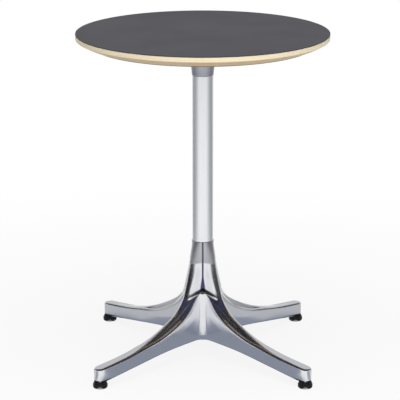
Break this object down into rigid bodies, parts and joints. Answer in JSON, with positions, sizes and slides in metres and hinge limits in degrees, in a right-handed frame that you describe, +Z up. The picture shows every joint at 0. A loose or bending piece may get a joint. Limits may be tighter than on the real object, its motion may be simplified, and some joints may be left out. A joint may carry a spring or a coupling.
{
  "type": "pedestal side table",
  "caption": "Round side table: a thin laminated plywood top with a bevelled edge on a slim metal column and a polished cast base with low splayed legs on screw glides.",
  "frame": {"origin": "on the floor, on the column's axis, under the middle of the top", "axes": "+Z up along the column; the legs point along the diagonals of X and Y; -Y is the side seen in the picture"},
  "size_m": [0.424, 0.424, 0.565],
  "materials": {
    "laminate": "matt charcoal laminate",
    "plywood": "clear lacquered plywood edge",
    "backing": "plain balancing sheet",
    "cast_aluminium": "as cast, brushed",
    "satin_aluminium": "satin, drawn along the tube",
    "polished_aluminium": "mirror polished",
    "zinc_steel": "zinc plated",
    "black_plastic": "smooth black",
    "nickel_steel": "nickel plated"
  },
  "bodies": {
    "table": {"top_laminate": "laminate", "plywood_core": "plywood", "backing_sheet": "backing", "collar_casting": "cast_aluminium", "top_screw_1": "zinc_steel", "top_screw_2": "zinc_steel", "top_screw_3": "zinc_steel", "top_screw_4": "zinc_steel", "top_screw_5": "zinc_steel", "top_screw_6": "zinc_steel", "top_screw_7": "zinc_steel", "top_screw_8": "zinc_steel", "column_tube": "satin_aluminium", "tie_rod": "zinc_steel", "tie_rod_washer": "zinc_steel", "tie_rod_lock_washer": "zinc_steel", "tie_rod_nut": "zinc_steel", "base_casting": "polished_aluminium", "foot_insert_1": "zinc_steel", "foot_insert_2": "zinc_steel", "foot_insert_3": "zinc_steel", "foot_insert_4": "zinc_steel"},
    "glide_base_1": {"glide_disc_1": "nickel_steel"},
    "glide_base_2": {"glide_disc_2": "nickel_steel"},
    "glide_base_3": {"glide_disc_3": "nickel_steel"},
    "glide_base_4": {"glide_disc_4": "nickel_steel"},
    "glide_screw_1": {"glide_cup_1": "black_plastic", "glide_stud_1": "zinc_steel"},
    "glide_screw_2": {"glide_cup_2": "black_plastic", "glide_stud_2": "zinc_steel"},
    "glide_screw_3": {"glide_cup_3": "black_plastic", "glide_stud_3": "zinc_steel"},
    "glide_screw_4": {"glide_cup_4": "black_plastic", "glide_stud_4": "zinc_steel"}
  },
  "joints": [
    {"name": "glide_1_lift", "type": "slide", "parent": "table", "child": "glide_base_1", "axis": [0, 0, -1], "range_m": [0, 0.0075]},
    {"name": "glide_1_turn", "type": "hinge", "parent": "glide_base_1", "child": "glide_screw_1", "pos_m": [0.16971, 0.16971, 0.008], "axis": [0, 0, -1], "range_deg": [0, 2160]},
    {"name": "glide_2_lift", "type": "slide", "parent": "table", "child": "glide_base_2", "axis": [0, 0, -1], "range_m": [0, 0.0075]},
    {"name": "glide_2_turn", "type": "hinge", "parent": "glide_base_2", "child": "glide_screw_2", "pos_m": [-0.16971, 0.16971, 0.008], "axis": [0, 0, -1], "range_deg": [0, 2160]},
    {"name": "glide_3_lift", "type": "slide", "parent": "table", "child": "glide_base_3", "axis": [0, 0, -1], "range_m": [0, 0.0075]},
    {"name": "glide_3_turn", "type": "hinge", "parent": "glide_base_3", "child": "glide_screw_3", "pos_m": [-0.16971, -0.16971, 0.008], "axis": [0, 0, -1], "range_deg": [0, 2160]},
    {"name": "glide_4_lift", "type": "slide", "parent": "table", "child": "glide_base_4", "axis": [0, 0, -1], "range_m": [0, 0.0075]},
    {"name": "glide_4_turn", "type": "hinge", "parent": "glide_base_4", "child": "glide_screw_4", "pos_m": [0.16971, -0.16971, 0.008], "axis": [0, 0, -1], "range_deg": [0, 2160]}
  ],
  "couplings": [
    {"joint": "glide_1_turn", "follows": "glide_1_lift", "rad_per_m": 5026.5},
    {"joint": "glide_2_turn", "follows": "glide_2_lift", "rad_per_m": 5026.5},
    {"joint": "glide_3_turn", "follows": "glide_3_lift", "rad_per_m": 5026.5},
    {"joint": "glide_4_turn", "follows": "glide_4_lift", "rad_per_m": 5026.5}
  ]
}
